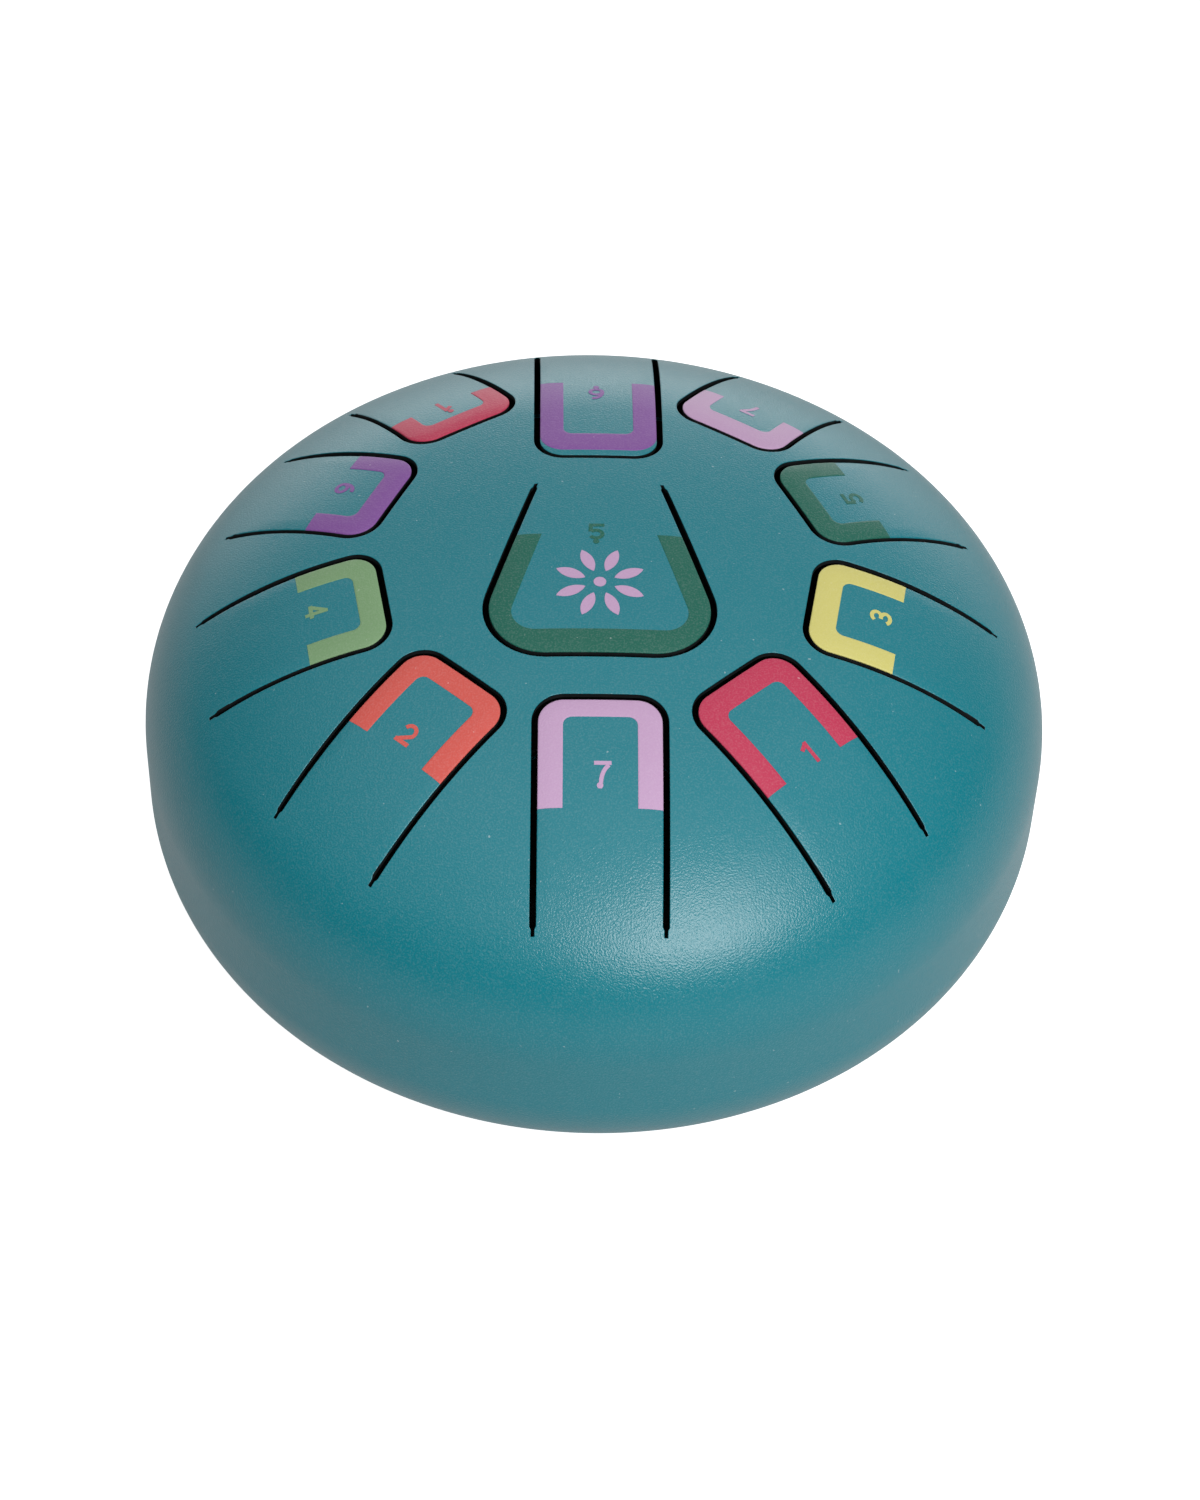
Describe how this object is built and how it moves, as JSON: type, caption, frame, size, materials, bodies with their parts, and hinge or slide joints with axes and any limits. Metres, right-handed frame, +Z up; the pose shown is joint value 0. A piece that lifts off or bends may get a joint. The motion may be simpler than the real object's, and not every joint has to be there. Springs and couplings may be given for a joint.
{
  "type": "steel tongue drum",
  "caption": "Round, hollow steel tongue drum with a ring of radial sounding tongues, a tapered centre tongue, coloured note bands and rubber feet.",
  "frame": {"origin": "on the floor under the drum's axis, in the plane of the feet", "axes": "+Z up along the drum's axis; the low 7 tongue points to -Y and the low 6 tongue to +Y"},
  "size_m": [0.25, 0.25, 0.1221],
  "materials": {
    "teal_coat": "satin powder coat",
    "lilac_film": "satin printed film",
    "crimson_film": "satin printed film",
    "yellow_film": "satin printed film",
    "dark_green_film": "satin printed film",
    "purple_film": "satin printed film",
    "light_green_film": "satin printed film",
    "coral_film": "satin printed film",
    "foot_rubber": "matt",
    "zinc_steel": "zinc plated"
  },
  "bodies": {
    "drum": {"upper_shell": "teal_coat", "lower_shell": "teal_coat", "seam_weld": "teal_coat", "rubber_foot_front_right": "foot_rubber", "rubber_foot_back_right": "foot_rubber", "rubber_foot_back_left": "foot_rubber", "rubber_foot_front_left": "foot_rubber", "foot_washers": "zinc_steel", "foot_screws": "zinc_steel", "foot_nuts": "zinc_steel"},
    "tongue_low_5": {"tongue_low_5": "teal_coat", "band_low_5": "dark_green_film", "numeral_low_5": "dark_green_film", "centre_rosette": "lilac_film"},
    "tongue_low_6": {"tongue_low_6": "teal_coat", "band_low_6": "purple_film", "numeral_low_6": "purple_film"},
    "tongue_low_7": {"tongue_low_7": "teal_coat", "band_low_7": "lilac_film", "numeral_low_7": "lilac_film"},
    "tongue_1": {"tongue_1": "teal_coat", "band_1": "crimson_film", "numeral_1": "crimson_film"},
    "tongue_2": {"tongue_2": "teal_coat", "band_2": "coral_film", "numeral_2": "coral_film"},
    "tongue_3": {"tongue_3": "teal_coat", "band_3": "yellow_film", "numeral_3": "yellow_film"},
    "tongue_4": {"tongue_4": "teal_coat", "band_4": "light_green_film", "numeral_4": "light_green_film"},
    "tongue_5": {"tongue_5": "teal_coat", "band_5": "dark_green_film", "numeral_5": "dark_green_film"},
    "tongue_6": {"tongue_6": "teal_coat", "band_6": "purple_film", "numeral_6": "purple_film"},
    "tongue_7": {"tongue_7": "teal_coat", "band_7": "lilac_film", "numeral_7": "lilac_film"},
    "tongue_high_1": {"tongue_high_1": "teal_coat", "band_high_1": "crimson_film", "numeral_high_1": "crimson_film"}
  },
  "joints": [
    {"name": "tongue_low_5_flex", "type": "hinge", "parent": "drum", "child": "tongue_low_5", "pos_m": [0, 0.0269, 0.12018], "axis": [1, 0, 0], "range_deg": [-0.5, 0.5], "stiffness_Nm_per_rad": 133.3},
    {"name": "tongue_low_6_flex", "type": "hinge", "parent": "drum", "child": "tongue_low_6", "pos_m": [0, 0.105, 0.09729], "axis": [1, 0, 0], "range_deg": [-0.5, 0.5], "stiffness_Nm_per_rad": 87.8},
    {"name": "tongue_low_7_flex", "type": "hinge", "parent": "drum", "child": "tongue_low_7", "pos_m": [0, -0.105, 0.09729], "axis": [-1, 0, 0], "range_deg": [-0.5, 0.5], "stiffness_Nm_per_rad": 95.8},
    {"name": "tongue_1_flex", "type": "hinge", "parent": "drum", "child": "tongue_1", "pos_m": [0.07131, -0.08031, 0.09545], "axis": [-0.7478, -0.6639, 0], "range_deg": [-0.5, 0.5], "stiffness_Nm_per_rad": 99.8},
    {"name": "tongue_2_flex", "type": "hinge", "parent": "drum", "child": "tongue_2", "pos_m": [-0.06971, -0.07852, 0.09729], "axis": [-0.7478, 0.6639, 0], "range_deg": [-0.5, 0.5], "stiffness_Nm_per_rad": 105.6},
    {"name": "tongue_3_flex", "type": "hinge", "parent": "drum", "child": "tongue_3", "pos_m": [0.10347, -0.01787, 0.09729], "axis": [-0.1702, -0.9854, 0], "range_deg": [-0.5, 0.5], "stiffness_Nm_per_rad": 116.8},
    {"name": "tongue_4_flex", "type": "hinge", "parent": "drum", "child": "tongue_4", "pos_m": [-0.10347, -0.01787, 0.09729], "axis": [-0.1702, 0.9854, 0], "range_deg": [-0.5, 0.5], "stiffness_Nm_per_rad": 119.4},
    {"name": "tongue_5_flex", "type": "hinge", "parent": "drum", "child": "tongue_5", "pos_m": [0.093, 0.04496, 0.09853], "axis": [0.4352, -0.9003, 0], "range_deg": [-0.5, 0.5], "stiffness_Nm_per_rad": 129.3},
    {"name": "tongue_6_flex", "type": "hinge", "parent": "drum", "child": "tongue_6", "pos_m": [-0.093, 0.04496, 0.09853], "axis": [0.4352, 0.9003, 0], "range_deg": [-0.5, 0.5], "stiffness_Nm_per_rad": 134.3},
    {"name": "tongue_7_flex", "type": "hinge", "parent": "drum", "child": "tongue_7", "pos_m": [0.05443, 0.08779, 0.09853], "axis": [0.8499, -0.527, 0], "range_deg": [-0.5, 0.5], "stiffness_Nm_per_rad": 149},
    {"name": "tongue_high_1_flex", "type": "hinge", "parent": "drum", "child": "tongue_high_1", "pos_m": [-0.05443, 0.08779, 0.09853], "axis": [0.8499, 0.527, 0], "range_deg": [-0.5, 0.5], "stiffness_Nm_per_rad": 157.6}
  ]
}
